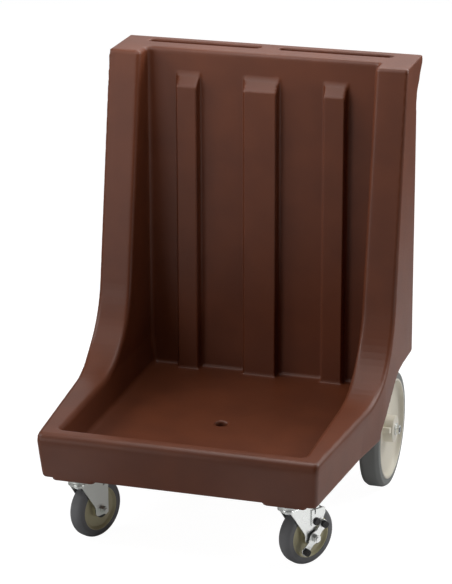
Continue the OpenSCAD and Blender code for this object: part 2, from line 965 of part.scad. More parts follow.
// Axle bolt of a caster, its head on the inside
module wheel_bolt(side) {
    color(zinc)
        on_caster_axle(side) {
            translate([-leg_out - bolt_head_t, 0, 0])
                rotate([0, 90, 0])
                    cylinder(h = bolt_head_t, r = bolt_head_r, $fn = 6);
            bar_x(-leg_out - bolt_head_t / 2, nut_face(side) + bolt_nut_t + bolt_end, bolt_r);
        }
}

module left_wheel_bolt() { wheel_bolt(left); }

module right_wheel_bolt() { wheel_bolt(right); }

// Lock nut on the outer end of the axle bolt
module wheel_nut(side) {
    from = nut_face(side);
    color(zinc)
        on_caster_axle(side)
            difference() {
                translate([from, 0, 0])
                    rotate([0, 90, 0])
                        cylinder(h = bolt_nut_t, r = bolt_head_r, $fn = 6);
                bar_x(from - over, from + bolt_nut_t + over, bolt_r + fit_gap);
            }
}

module left_wheel_nut() { wheel_nut(left); }

module right_wheel_nut() { wheel_nut(right); }

// Sleeve clamped between the legs, on which the wheel turns
module wheel_sleeve(side) {
    color(steel)
        on_caster_axle(side)
            difference() {
                bar_x(-leg_in, leg_in, sleeve_r);
                bar_x(-leg_in - over, leg_in + over, bolt_r + fit_gap);
            }
}

module left_wheel_sleeve() { wheel_sleeve(left); }

module right_wheel_sleeve() { wheel_sleeve(right); }

// Thread guards pushed on the sleeve, one beside each leg
module thread_guards(side) {
    color(black)
        on_caster_axle(side)
            for (from = [-leg_in, leg_in - guard_t])
                difference() {
                    bar_x(from, from + guard_t, guard_r);
                    bar_x(from - over, from + guard_t + over, sleeve_r + fit_gap);
                }
}

module left_thread_guards() { thread_guards(left); }

module right_thread_guards() { thread_guards(right); }

// Moulded caster hub with a rim, a web and a boss
module front_hub(side) {
    half = front_wheel_w / 2;
    boss_r = front_bush_r + front_boss_t;
    rim_bore_r = front_rim_r - front_rim_t;
    web = front_web_t / 2;
    color(khaki)
        on_caster_axle(side)
            difference() {
                turned_x([[0, -half], [boss_r, -half], [boss_r, -web], [rim_bore_r, -web],
                          [rim_bore_r, -half], [front_rim_r, -half], [front_rim_r, half],
                          [rim_bore_r, half], [rim_bore_r, web], [boss_r, web], [boss_r, half], [0, half]]);
                bar_x(-half - over, half + over, front_bush_r);
            }
}

module left_front_hub() { front_hub(left); }

module right_front_hub() { front_hub(right); }

// Solid caster tyre with a crowned tread
module front_tyre(side) {
    half = front_wheel_w / 2;
    tread_r = front_wheel_d / 2;
    tyre_corners = [
        [front_rim_r, -half, 0], [tread_r - tread_crown, -half, tread_crown],
        [tread_r, -half + tread_crown, tread_crown], [tread_r, half - tread_crown, tread_crown],
        [tread_r - tread_crown, half, tread_crown], [front_rim_r, half, 0]];
    color(dark_rubber)
        on_caster_axle(side)
            turned_x(outline(tyre_corners));
}

module left_front_tyre() { front_tyre(left); }

module right_front_tyre() { front_tyre(right); }

// Bush pressed into a caster hub
module front_bush(side) {
    half = front_wheel_w / 2;
    color(nylon)
        on_caster_axle(side)
            difference() {
                bar_x(-half, half, front_bush_r);
                bar_x(-half - over, half + over, sleeve_r + running_gap);
            }
}

module left_front_bush() { front_bush(left); }

module right_front_bush() { front_bush(right); }

// Puts a brake piece on the right caster's axle, with its upper arm along local +y
module on_rocker() {
    on_caster_axle(right)
        rotate([rocker_angle, 0, 0]) children();
}

// Stamped rocker that turns on the axle bolt, with a seat for a foot pad on each arm
module brake_rocker() {
    seat_l = brake_pad_l + 2 * rocker_rim;
    seat_w = brake_pad_w + 2 * rocker_rim;
    color(zinc)
        on_rocker()
            difference() {
                union() {
                    bar_x(rocker_in, rocker_out, rocker_boss_r);
                    along_x(rocker_in, rocker_out)
                        polygon(outline(box_corners(0, 0, 2 * rocker_arm, 2 * rocker_half, 0)));
                    for (end = [-1, 1])
                        along_x(rocker_in, rocker_out)
                            polygon(outline(box_corners(end * rocker_arm, 0, seat_l, seat_w,
                                                        brake_pad_r + rocker_rim)));
                }
                bar_x(rocker_in - over, rocker_out + over, bolt_r + running_gap);
            }
}

// Grooved rubber foot pads on both ends of the rocker
module brake_pads() {
    color(black)
        on_rocker()
            for (end = [-1, 1])
                difference() {
                    along_x(rocker_out, rocker_out + brake_pad_t)
                        polygon(outline(box_corners(end * rocker_arm, 0, brake_pad_l, brake_pad_w,
                                                    brake_pad_r)));
                    for (k = [1:pad_groove_count])
                        translate([rocker_out + brake_pad_t - pad_groove_depth,
                                   end * rocker_arm - brake_pad_l / 2
                                   + k * brake_pad_l / (pad_groove_count + 1) - pad_groove_w / 2,
                                   -brake_pad_w])
                            cube([pad_groove_depth + over, pad_groove_w, 2 * brake_pad_w]);
                }
}

// Cam disc behind the rocker that presses on the wheel when the brake is on
module brake_cam() {
    color(black)
        on_rocker()
            difference() {
                union() {
                    bar_x(cam_in, rocker_in, cam_r);
                    along_x(cam_in, rocker_in)
                        polygon(outline(box_corners(0, -cam_r / 2, cam_r, cam_r + 2 * cam_lobe, cam_lobe)));
                }
                bar_x(cam_in - over, rocker_in + over, bolt_r + running_gap);
            }
}

// Stamped plate on the outer fork leg that carries the rocker's stop
module brake_plate() {
    fore = trail - brake_plate_fore;
    aft = trail + brake_plate_aft;
    back = trail + brake_plate_back;
    foot = wheel_z + brake_plate_foot;
    shoulder = wheel_z + brake_plate_shoulder;
    top = wheel_z + brake_plate_top;
    corners = [[fore, foot, brake_plate_r], [aft, foot, brake_plate_r], [back, shoulder, brake_plate_r],
               [back, top, brake_plate_r], [fore, top, 0]];
    color(zinc)
        on_caster(right)
            difference() {
                along_x(leg_out, leg_out + brake_plate_t) polygon(outline(corners));
                along_x(leg_out - over, leg_out + brake_plate_t + over)
                    polygon(outline(box_corners(leg_slot_y, leg_slot_z - leg_slot_w, leg_slot_w,
                                                leg_slot_h, leg_slot_r)));
            }
}

// Rubber bumper on the brake plate, against which the rocker stops
module brake_stop() {
    color(black)
        on_rocker()
            rotate([stop_angle, 0, 0])
                translate([0, rocker_arm, 0])
                    bar_x(leg_out + brake_plate_t, rocker_out + stop_proud, stop_r);
}

body_shell();
vent_plug();
caster_inserts();
bracket_inserts();
left_axle_bracket();
right_axle_bracket();
bracket_bolts();
rear_axle();
axle_spacers();
axle_washers();
axle_nuts();
left_rear_hub();
right_rear_hub();
left_rear_tyre();
right_rear_tyre();
left_rear_bushes();
right_rear_bushes();
left_caster_plate();
right_caster_plate();
caster_bolts();
left_kingpin();
right_kingpin();
left_lower_race();
right_lower_race();
left_upper_balls();
right_upper_balls();
left_lower_balls();
right_lower_balls();
left_fork();
right_fork();
left_wheel_bolt();
right_wheel_bolt();
left_wheel_nut();
right_wheel_nut();
left_wheel_sleeve();
right_wheel_sleeve();
left_thread_guards();
right_thread_guards();
left_front_hub();
right_front_hub();
left_front_tyre();
right_front_tyre();
left_front_bush();
right_front_bush();
brake_plate();
brake_rocker();
brake_pads();
brake_cam();
brake_stop();
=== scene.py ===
"""Glass rack dolly: a moulded tray with a high winged back, on two rear wheels and two swivel casters.
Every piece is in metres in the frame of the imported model: +Z up, the open front faces -Y."""
import math

import bpy
import numpy as np
from mathutils import Matrix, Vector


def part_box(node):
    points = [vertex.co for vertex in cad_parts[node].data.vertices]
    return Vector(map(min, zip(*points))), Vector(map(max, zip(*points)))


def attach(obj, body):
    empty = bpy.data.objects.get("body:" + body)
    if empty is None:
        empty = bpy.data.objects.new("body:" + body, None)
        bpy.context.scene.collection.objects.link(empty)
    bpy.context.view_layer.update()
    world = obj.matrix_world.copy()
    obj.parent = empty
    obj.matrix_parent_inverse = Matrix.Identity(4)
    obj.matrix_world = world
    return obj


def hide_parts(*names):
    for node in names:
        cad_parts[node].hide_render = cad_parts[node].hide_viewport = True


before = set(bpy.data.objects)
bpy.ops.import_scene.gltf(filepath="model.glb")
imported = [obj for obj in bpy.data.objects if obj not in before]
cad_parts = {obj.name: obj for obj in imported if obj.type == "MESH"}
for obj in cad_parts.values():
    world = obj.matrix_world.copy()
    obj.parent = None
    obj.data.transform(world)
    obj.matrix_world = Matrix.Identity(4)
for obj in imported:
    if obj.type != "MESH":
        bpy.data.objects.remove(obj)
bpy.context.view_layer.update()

# Moulded body: one hollow shell of brown polyethylene, rotationally moulded, so that its outer edges
# are soft and its inside corners filleted. Tray, lip, wings, ribbed back and handle are one piece;
# the casters and the axle brackets are bolted to inserts in its underside.

body_low, body_high = (np.array(corner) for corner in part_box("body_shell"))
half_width, rear, top = body_high
front = body_low[1]
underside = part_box("left_caster_plate")[1].z
front_half_width = 0.295
flare_end = front + 0.420
lip_top = 0.252
lip_band = 0.020
front_draft = 0.014
side_draft = 0.003
foot_draft = 0.0058
foot_draft_start, foot_draft_end = -0.080, 0.020
rear_face = rear - 0.051
overhang_start = top - 0.076
bar_foot = top - 0.014
wing_top = rear - 0.141
wing_lean = math.radians(9.5)
wing_foot = wing_top - (top - lip_top) * math.tan(wing_lean)
edge_radius = 0.009
top_edge_radius = 0.004
foot_radius = 0.005
overhang_radius = 0.040
bar_foot_radius = 0.006
bar_top_radius = 0.007
wing_sweep = 0.190
lip_radius = 0.016
band_radius = 0.080

floor = 0.186
floor_dish = 0.003
tray_half_width = 0.250
tray_draft = 0.008
lip_inside = front + 0.040
panel = rear_face - 0.043
mouth_radius = 0.010
tray_fillet = 0.008
drain_place = front + 0.320
drain_radius = 0.013
drain_edge = 0.005

rib_front = panel - 0.023
rib_root = panel + 0.020
rib_foot = floor - 0.010
rib_top = 0.832
rib_top_rise = 0.026
rib_draft = 0.0025
rib_edge = 0.0035
rib_fillet = 0.006
mid_rib_half = 0.037
side_rib_half = 0.0235
side_rib_place = 0.164

slot_half_length = 0.126
slot_half_width = 0.011
slot_place = np.array([0.146, rear - 0.036])
slot_foot = top - 0.152
slot_edge = 0.004

tyre_low, tyre_high = (np.array(corner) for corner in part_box("right_rear_tyre"))
axle = (tyre_low + tyre_high)[1:] / 2
rear_wheel_radius = (tyre_high - tyre_low)[2] / 2
well_inner = tyre_low[0] - 0.0065
well_wall = 0.0075
well_radius = rear_wheel_radius + 0.012
well_corner = 0.100
arch_reach = well_radius - 0.005
arch_front = axle[0] - arch_reach
arch_rise = 0.047
arch_slope = math.radians(32.5)
arch_top_radius = 0.150
arch_front_radius = 0.020
arch_edge = 0.0015
well_front = arch_front + 0.002

plate_low, plate_high = (np.array(corner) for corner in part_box("right_caster_plate"))
pad_place = (plate_low + plate_high)[:2] / 2
pad_inside = (plate_high - plate_low)[:2] / 2 + 0.001
pad_rim = 0.0065
pad_corner = 0.010
pad_foot = body_low[2]
pad_root = underside + 0.012
pad_fillet = 0.002


def rounded_outline(corners, turn=math.radians(5)):
    """Points of a closed outline. Each corner (u, v, radius) becomes an arc tangent to both of its
    edges, in steps of about turn; a corner of radius 0 stays a point."""
    points = []
    for before, corner, after in zip(corners[-1:] + corners[:-1], corners, corners[1:] + corners[:1]):
        here, radius = np.array(corner[:2]), corner[2]
        arrive = here - before[:2]
        leave = np.array(after[:2]) - here
        arrive = arrive / np.linalg.norm(arrive)
        leave = leave / np.linalg.norm(leave)
        bend = math.atan2(arrive[0] * leave[1] - arrive[1] * leave[0], arrive @ leave)
        outwards = np.sign(bend) * np.array([arrive[1], -arrive[0]])
        centre = here - radius * (math.tan(abs(bend) / 2) * arrive + outwards)
        steps = math.ceil(abs(bend) / turn) if radius else 0
        angle = math.atan2(outwards[1], outwards[0]) + bend * np.linspace(0, 1, steps + 1)
        points.append(centre + radius * np.stack([np.cos(angle), np.sin(angle)], 1))
    return np.concatenate(points)


def outline_distance(u, v, outline):
    """Signed distance from points (u, v) to a closed outline, negative inside: the least distance to
    its edges, with the sign turned by each edge that a ray towards +u crosses."""
    nearest, inside = np.inf, False
    for (a_u, a_v), (b_u, b_v) in zip(outline, np.roll(outline, -1, 0)):
        e_u, e_v, w_u, w_v = b_u - a_u, b_v - a_v, u - a_u, v - a_v
        share = np.clip((w_u * e_u + w_v * e_v) / (e_u**2 + e_v**2), 0, 1)
        nearest = np.minimum(nearest, (w_u - share * e_u) ** 2 + (w_v - share * e_v) ** 2)
        inside = inside ^ (((a_v > v) != (b_v > v)) & ((w_u * e_v < w_v * e_u) == (e_v > 0)))
    return np.where(inside, -1, 1) * np.sqrt(nearest)


def box_distance(u, v, half_u, half_v, radius):
    """Signed distance to a rectangle about the origin with rounded corners."""
    over_u = np.abs(u) - half_u + radius
    over_v = np.abs(v) - half_v + radius
    return (np.hypot(np.maximum(over_u, 0), np.maximum(over_v, 0))
            + np.minimum(np.maximum(over_u, over_v), 0) - radius)


def common(a, b, radius):
    """Distance to what two forms share, with the edge where they meet rounded to a radius."""
    return (np.minimum(-radius, np.maximum(a, b))
            + np.hypot(np.maximum(radius + a, 0), np.maximum(radius + b, 0)))


def joined(a, b, radius):
    """Distance to two forms together, with a fillet of a radius where they meet."""
    return -common(-a, -b, radius)


side_outline = rounded_outline([
    (front + front_draft, underside, foot_radius), (rear_face, underside, edge_radius),
    (rear_face, overhang_start, overhang_radius), (rear, bar_foot, bar_foot_radius),
    (rear, top, bar_top_radius), (wing_top, top, edge_radius), (wing_foot, lip_top, wing_sweep),
    (front, lip_top, lip_radius), (front, lip_top - lip_band, band_radius)])
flare = (half_width - front_half_width) / (flare_end - front)
overrun = 0.100
plan_outline = rounded_outline([
    (-front_half_width + flare * overrun, front - overrun, 0),
    (front_half_width - flare * overrun, front - overrun, 0),
    (half_width, flare_end, flare_end - front), (half_width, rear + overrun, 0),
    (-half_width, rear + overrun, 0), (-half_width, flare_end, flare_end - front)])
well_outline = rounded_outline([
    (well_front, -overrun, 0), (rear + overrun, -overrun, 0),
    (rear + overrun, axle[1] + well_radius, 0), (well_front, axle[1] + well_radius, well_corner)])
arch_outline = rounded_outline([
    (arch_front, -overrun, 0), (rear + overrun, -overrun, 0),
    (rear + overrun, axle[1] + arch_reach, 0),
    (arch_front + (arch_reach - arch_rise) / math.tan(arch_slope), axle[1] + arch_reach, arch_top_radius),
    (arch_front, axle[1] + arch_rise, arch_front_radius)])
rib_side_outline = rounded_outline([
    (rib_front, rib_foot, 0), (rib_root, rib_foot, 0), (rib_root, rib_top + rib_top_rise, 0),
    (panel, rib_top + rib_top_rise, 0), (rib_front, rib_top, rib_edge)])


def rib_distance(across, y, z, half):
    """Distance to one rib: its plan, wider at the root, shared with its side view and sloping top."""
    plan = rounded_outline([(-half, rib_front, rib_edge), (half, rib_front, rib_edge),
                            (half + rib_draft, rib_root, 0), (-half - rib_draft, rib_root, 0)])
    return common(outline_distance(across, y, plan), outline_distance(y, z, rib_side_outline), rib_edge)


def body_distance(x, y, z):
    """Distance to the moulding: its side view and plan in common, less the space for the racks, with
    the ribs joined on, less the wheel wells, arches, hand slots and drain, with the caster pads."""
    across = np.abs(x)
    height = np.clip((z - lip_top) / (top - lip_top), 0, 1)
    depth = (np.clip((lip_top - lip_band - z) / (lip_top - lip_band - underside), 0, 1)
             * np.clip((foot_draft_end - y) / (foot_draft_end - foot_draft_start), 0, 1))
    side = outline_distance(x, y, plan_outline) + side_draft * height + foot_draft * depth
    body = common(outline_distance(y, z, side_outline), side,
                  edge_radius + (top_edge_radius - edge_radius) * height)
    lean = tray_draft * np.clip((z - floor) / (lip_top - floor), 0, 1)
    walls = common(across - tray_half_width - lean,
                   np.maximum(lip_inside + tray_draft - lean - y, y - panel), mouth_radius)
    slope = np.maximum(across / tray_half_width, np.abs(y - drain_place) / (panel - drain_place))
    sunk = floor - floor_dish * np.clip(1 - slope, 0, 1) - z
    body = common(body, -common(walls, sunk, tray_fillet), mouth_radius)
    body = joined(body, rib_distance(x, y, z, mid_rib_half), rib_fillet)
    body = joined(body, rib_distance(across - side_rib_place, y, z, side_rib_half), rib_fillet)
    well = np.maximum(outline_distance(y, z, well_outline),
                      np.maximum(well_inner - across, side + well_wall))
    arch = np.maximum(outline_distance(y, z, arch_outline), -side - well_wall - arch_edge)
    body = common(body, -np.minimum(well, arch), arch_edge)
    slot = box_distance(across - slot_place[0], y - slot_place[1], slot_half_length, slot_half_width,
                        slot_half_width)
    body = common(body, -np.maximum(slot, slot_foot - z), slot_edge)
    body = common(body, drain_radius - np.hypot(x, y - drain_place), drain_edge)
    pad_u, pad_v = across - pad_place[0], y - pad_place[1]
    ring = np.maximum(box_distance(pad_u, pad_v, *(pad_inside + pad_rim), pad_corner),
                      -box_distance(pad_u, pad_v, *pad_inside, pad_corner - pad_rim))
    return joined(body, np.maximum(ring, np.maximum(pad_foot - z, z - pad_root)), pad_fillet)


def slope_of(distance, points, reach=2e-4):
    """Gradient of a distance at points, from the four corners of a small tetrahedron round each."""
    corners = np.array([[1, 1, 1], [1, -1, -1], [-1, 1, -1], [-1, -1, 1]])
    values = [distance(*(points + reach * corner).T) for corner in corners]
    return sum(value[:, None] * corner for value, corner in zip(values, corners)) / (4 * reach)


def skin_of(distance, low, high, step, least_steepness=0.25):
    """Quads of the surface where a distance is zero, by surface nets: each cell of a grid that the
    surface crosses gets a point, the mean of the crossings on the cell's edges, and each grid edge
    that it crosses gets a quad between the four cells round it. Points then move along the gradient
    on to the surface, less where it is slight, as midway between two close walls. Returns points,
    quads and normals."""
    axes = [np.arange(l - 1.5 * step, h + 2 * step, step) for l, h in zip(low, high)]
    values = distance(*np.meshgrid(*axes, indexing="ij", sparse=True))
    cells = tuple(n - 1 for n in values.shape)
    total, count = np.zeros(cells + (3,)), np.zeros(cells)
    crossings = []
    for axis in range(3):
        a, b = np.moveaxis(values, axis, 0)[:-1], np.moveaxis(values, axis, 0)[1:]
        crossed = (a < 0) != (b < 0)
        share = np.where(crossed, a / np.where(crossed, a - b, 1), 0)
        crossings.append((crossed, a < 0))
        others = [other for other in range(3) if other != axis]
        for p in (0, 1):
            for q in (0, 1):
                part = (slice(None), slice(p, p + cells[others[0]]), slice(q, q + cells[others[1]]))
                hit = np.moveaxis(crossed[part], 0, axis)
                total[..., axis] += np.moveaxis(share[part], 0, axis)
                total[..., others[0]] += p * hit
                total[..., others[1]] += q * hit
                count += hit
    used = count > 0
    index = np.where(used, np.cumsum(used).reshape(cells) - 1, -1)
    place = np.argwhere(used) + total[used] / count[used][:, None]
    points = np.array([axis[0] for axis in axes]) + place * step
    quads = []
    for axis, (crossed, leaving) in enumerate(crossings):
        around = np.moveaxis(index, axis, 0)
        inner = (slice(None), slice(1, -1), slice(1, -1))
        ring = np.stack([around[:, :-1, :-1], around[:, 1:, :-1], around[:, 1:, 1:], around[:, :-1, 1:]], -1)
        if axis == 1:
            ring = ring[..., ::-1]
        outward = leaving[inner][..., None]
        ring = np.where(outward, ring, ring[..., ::-1])
        quads.append(ring[crossed[inner]])
    for _ in range(3):
        gradient = slope_of(distance, points)
        steepness = np.maximum((gradient**2).sum(1), least_steepness)
        points = points - (distance(*points.T) / steepness)[:, None] * gradient
    normals = slope_of(distance, points)
    return points, np.concatenate(quads), normals / np.linalg.norm(normals, axis=1)[:, None]


def piece(name, points, faces, material, body, nodes=(), normals=None, crease=math.radians(35)):
    """A mesh object that rides on a body: smooth, with given normals or with edges sharper than the
    crease kept. It takes the material given and stands for the CAD nodes named, which it hides."""
    mesh = bpy.data.meshes.new(name)
    mesh.from_pydata(points.tolist(), [], [face.tolist() for face in faces])
    mesh.shade_smooth()
    if normals is None:
        mesh.set_sharp_from_angle(angle=crease)
    else:
        mesh.normals_split_custom_set_from_vertices(normals)
    mesh.materials.append(material)
    made = bpy.data.objects.new(name, mesh)
    bpy.context.scene.collection.objects.link(made)
    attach(made, body)
    if nodes:
        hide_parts(*nodes)
    return made


def linear(colour):
    """Linear red, green, blue and alpha of an sRGB hex colour."""
    channels = np.array([int(colour[i:i + 2], 16) for i in (1, 3, 5)]) / 255
    return (*np.where(channels <= 0.04045, channels / 12.92, ((channels + 0.055) / 1.055) ** 2.4), 1)


def add_node(tree, kind, inputs, **settings):
    """One shader node with its settings; an input is a constant or another node's output."""
    node = tree.nodes.new("ShaderNode" + kind)
    for name, value in settings.items():
        setattr(node, name, value)
    for name, value in inputs.items():
        if isinstance(value, bpy.types.NodeSocket):
            tree.links.new(value, node.inputs[name])
        else:
            node.inputs[name].default_value = value
    return node


def new_material(name):
    """An empty node material, with its tree, shader and Object coordinates."""
    material = bpy.data.materials.new(name)
    material.use_nodes = True
    tree = material.node_tree
    return material, tree, tree.nodes["Principled BSDF"], add_node(tree, "TexCoord", {}).outputs["Object"]


# Rotationally moulded polyethylene takes the mould's satin blast and a faint orange peel, and its
# pigment is a little uneven, so broad highlights break up and the brown drifts slightly.
peel_size = 0.0035
drift_size = 0.090
brown = "#68351d"
brown_dark = "#60301a"

body_plastic, tree, shader, place = new_material("rotomoulded_brown_polyethylene")
drift = add_node(tree, "TexNoise", {"Vector": place, "Scale": 1 / drift_size, "Detail": 3.0})
pigment = add_node(tree, "ValToRGB", {"Fac": drift.outputs["Fac"]})
pigment.color_ramp.elements[0].position = 0.35
pigment.color_ramp.elements[0].color = linear(brown_dark)
pigment.color_ramp.elements[1].position = 0.65
pigment.color_ramp.elements[1].color = linear(brown)
peel = add_node(tree, "TexNoise", {"Vector": place, "Scale": 1 / peel_size, "Detail": 2.0})
satin = add_node(tree, "MapRange", {"Value": peel.outputs["Fac"], "To Min": 0.40, "To Max": 0.50})
relief = add_node(tree, "Bump", {"Height": peel.outputs["Fac"], "Strength": 0.25, "Distance": 0.0003})
tree.links.new(pigment.outputs["Color"], shader.inputs["Base Color"])
tree.links.new(satin.outputs["Result"], shader.inputs["Roughness"])
tree.links.new(relief.outputs["Normal"], shader.inputs["Normal"])
shader.inputs["IOR"].default_value = 1.51
shader.inputs["Specular IOR Level"].default_value = 0.44

body_step = 0.0054
points, quads, normals = skin_of(body_distance, body_low, body_high, body_step)
piece("moulded_body", points, quads, body_plastic, "chassis", ["body_shell"], normals)


def dress(material, *nodes):
    """Gives CAD nodes a finished material."""
    for node in nodes:
        for place_of_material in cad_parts[node].material_slots:
            place_of_material.material = material


dress(body_plastic, "vent_plug")

# Rear axle: zinc-plated steel hangers bolted up into the body, a plain steel through axle with spacer
# tubes, and a washer and nut on each threaded end.

# Zinc plating is a bright, slightly cloudy film: a broad drift in how it scatters and fine grain.
zinc_drift = 0.025
zinc_grain = 0.0012


def zinc_material(name, colour, smooth, rough):
    """Plated steel whose roughness drifts between two values, with a fine grain in its relief."""
    material, tree, shader, place = new_material(name)
    drift = add_node(tree, "TexNoise", {"Vector": place, "Scale": 1 / zinc_drift, "Detail": 4.0})
    gloss = add_node(tree, "MapRange", {"Value": drift.outputs["Fac"], "To Min": smooth, "To Max": rough})
    grain = add_node(tree, "TexNoise", {"Vector": place, "Scale": 1 / zinc_grain, "Detail": 1.0})
    relief = add_node(tree, "Bump", {"Height": grain.outputs["Fac"], "Strength": 0.04, "Distance": 0.0001})
    tree.links.new(gloss.outputs["Result"], shader.inputs["Roughness"])
    tree.links.new(relief.outputs["Normal"], shader.inputs["Normal"])
    shader.inputs["Base Color"].default_value = linear(colour)
    shader.inputs["Metallic"].default_value = 1.0
    return material


# On the casters these two stand for one plating: the left caster takes the duller zinc as painted shade,
# where it stands under the body, and the right caster takes the bright zinc as painted light.
zinc = zinc_material("zinc_plated_pressed_steel", "#d4d7d2", 0.26, 0.42)
bright_zinc = zinc_material("bright_zinc_plated_steel", "#e6e8e6", 0.20, 0.34)
plain_steel = zinc_material("turned_plain_steel", "#9a9ca0", 0.24, 0.36)
dress(zinc, "left_axle_bracket", "right_axle_bracket", "bracket_bolts", "axle_spacers")
dress(bright_zinc, "axle_washers", "axle_nuts")
dress(plain_steel, "rear_axle")

# Brass inserts are turned and knurled, and are moulded into the underside for the bolts.
brass, tree, shader, place = new_material("turned_brass")
knurl = add_node(tree, "TexNoise", {"Vector": place, "Scale": 1 / zinc_grain, "Detail": 1.0})
relief = add_node(tree, "Bump", {"Height": knurl.outputs["Fac"], "Strength": 0.2, "Distance": 0.0002})
tree.links.new(relief.outputs["Normal"], shader.inputs["Normal"])
shader.inputs["Base Color"].default_value = linear("#b08d4a")
shader.inputs["Metallic"].default_value = 1.0
shader.inputs["Roughness"].default_value = 0.32
dress(brass, "caster_inserts", "bracket_inserts")

# Rear wheels: injection-moulded ivory polypropylene hubs with a dished web, a long boss and two fins,
# each in a solid grey rubber tyre, turning on nylon bushes.


def turned(outline, centre, direction, segments):
    """A closed profile turned round an axle: each point (along, radius) of the profile goes round the
    axle's direction in even steps. Returns points and quads."""
    first = np.array([0.0, 0.0, 1.0])
    second = np.cross(direction, first)
    angle = np.arange(segments) * 2 * np.pi / segments
    spoke = np.cos(angle)[:, None] * first + np.sin(angle)[:, None] * second
    along, radius = outline.T[:, :, None, None]
    points = centre + along * direction + radius * spoke
    row, column = np.meshgrid(np.arange(len(outline)), np.arange(segments), indexing="ij")
    next_row, next_column = (row + 1) % len(outline), (column + 1) % segments
    quads = np.stack([row * segments + column, next_row * segments + column,
                      next_row * segments + next_column, row * segments + next_column], -1)
    return points.reshape(-1, 3), quads.reshape(-1, 4)


def extruded(outline, centre, u, v, along, thickness):
    """A closed outline in the plane of u and v, drawn out to both sides along a third direction, with
    a flat cap on each end. Returns points and faces."""
    count = len(outline)
    flat = centre + outline[:, :1] * u + outline[:, 1:] * v
    points = np.concatenate([flat - along * thickness / 2, flat + along * thickness / 2])
    here = np.arange(count)
    after = (here + 1) % count
    sides = np.stack([here, after, after + count, here + count], 1)
    return points, [here[::-1], here + count, *sides]


def plastic_material(name, colour, rough, ior, grain_size):
    """Moulded plastic or rubber with a fine grain that breaks up its gloss."""
    material, tree, shader, place = new_material(name)
    grain = add_node(tree, "TexNoise", {"Vector": place, "Scale": 1 / grain_size, "Detail": 3.0})
    gloss = add_node(tree, "MapRange",
                     {"Value": grain.outputs["Fac"], "To Min": rough - 0.06, "To Max": rough + 0.06})
    relief = add_node(tree, "Bump", {"Height": grain.outputs["Fac"], "Strength": 0.15, "Distance": 0.0002})
    tree.links.new(gloss.outputs["Result"], shader.inputs["Roughness"])
    tree.links.new(relief.outputs["Normal"], shader.inputs["Normal"])
    shader.inputs["Base Color"].default_value = linear(colour)
    shader.inputs["IOR"].default_value = ior
    return material


# A polished mould leaves polypropylene a soft gloss; solid rubber is dull with a fine bloom; turned nylon
# is waxy.
ivory = plastic_material("injection_moulded_ivory_polypropylene", "#dad4c5", 0.42, 1.49, 0.004)
grey_rubber = plastic_material("moulded_grey_rubber", "#7c7e7c", 0.62, 1.52, 0.003)
nylon = plastic_material("turned_nylon", "#d8d2c0", 0.45, 1.53, 0.003)

hub_low, hub_high = (np.array(corner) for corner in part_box("right_rear_hub"))
hub_in, hub_out = hub_low[0], hub_high[0]
rim_radius = 0.109
rim_out = tyre_high[0] + 0.001
rim_in = tyre_low[0] - 0.001
rim_face = 0.0045
rim_edge = 0.0012
rim_back = 0.009
dish_wall = 0.011
dish_start = 0.060
dish_curve = 0.030
dish_rise = 0.003
dish_corner = 0.007
web_out = rim_out - 0.018
web_in = web_out - 0.007
web_corner = 0.005
boss_radius = 0.030
boss_draft = 0.001
boss_edge = 0.0015
boss_fillet = 0.004
hub_bore = 0.01105
bore_edge = 0.0006
fin_thickness = 0.012
fin_reach = 0.016
fin_draft = 0.002
fin_edge = 0.003
fin_bevel = 0.001
fin_turn = math.radians(15)
fin_out = (rim_out + hub_out) / 2
fin_root = web_out - 0.002
tread_half = 0.0136
tread_drop = 0.005
tread_round = 0.008
shoulder_round = 0.004
bead_edge = 0.0005
tyre_middle = (tyre_low[0] + tyre_high[0]) / 2

hub_outline = rounded_outline([
    (hub_in, hub_bore, 0), (hub_out, hub_bore, bore_edge), (hub_out, boss_radius - boss_draft, boss_edge),
    (web_out, boss_radius, boss_fillet), (web_out, dish_start, dish_curve),
    (rim_out - dish_wall, rim_radius - rim_face - dish_rise, dish_corner),
    (rim_out, rim_radius - rim_face, rim_edge), (rim_out, rim_radius, rim_edge),
    (rim_in, rim_radius, rim_edge), (rim_in, rim_radius - rim_face, rim_edge),
    (web_in, rim_radius - rim_back, web_corner), (web_in, boss_radius, boss_fillet),
    (hub_in, boss_radius, boss_edge)], math.radians(12))
tyre_outline = rounded_outline([
    (tyre_low[0], rim_radius, bead_edge), (tyre_high[0], rim_radius, bead_edge),
    (tyre_high[0], rear_wheel_radius - tread_drop, shoulder_round),
    (tyre_middle + tread_half, rear_wheel_radius, tread_round),
    (tyre_middle - tread_half, rear_wheel_radius, tread_round),
    (tyre_low[0], rear_wheel_radius - tread_drop, shoulder_round)], math.radians(8))
fin_outline = rounded_outline([
    (fin_root, -boss_radius - fin_reach, 0), (fin_out, fin_draft - boss_radius - fin_reach, fin_edge),
    (fin_out, boss_radius + fin_reach - fin_draft, fin_edge), (fin_root, boss_radius + fin_reach, 0)])
rear_axle_place = np.array([0, *axle])
fin_length = np.array([0, math.cos(fin_turn), -math.sin(fin_turn)])
fin_normal = np.array([0, math.sin(fin_turn), math.cos(fin_turn)])
wheel_steps = 128
for side, outward in (("left", -1), ("right", 1)):
    direction = np.array([outward, 0.0, 0.0])
    body = side + "_rear_wheel"
    points, quads = turned(hub_outline, rear_axle_place, direction, wheel_steps)
    piece(side + "_rear_hub_moulding", points, quads, ivory, body, [side + "_rear_hub"])
    points, faces = extruded(fin_outline, rear_axle_place, direction, outward * fin_length, fin_normal,
                             fin_thickness)
    fins = piece(side + "_rear_hub_fins", points, faces, ivory, body)
    fins.modifiers.new("soft_edges", "BEVEL").width = fin_bevel
    points, quads = turned(tyre_outline, rear_axle_place, direction, wheel_steps)
    piece(side + "_rear_tyre_rubber", points, quads, grey_rubber, body, [side + "_rear_tyre"])
    dress(nylon, side + "_rear_bushes")

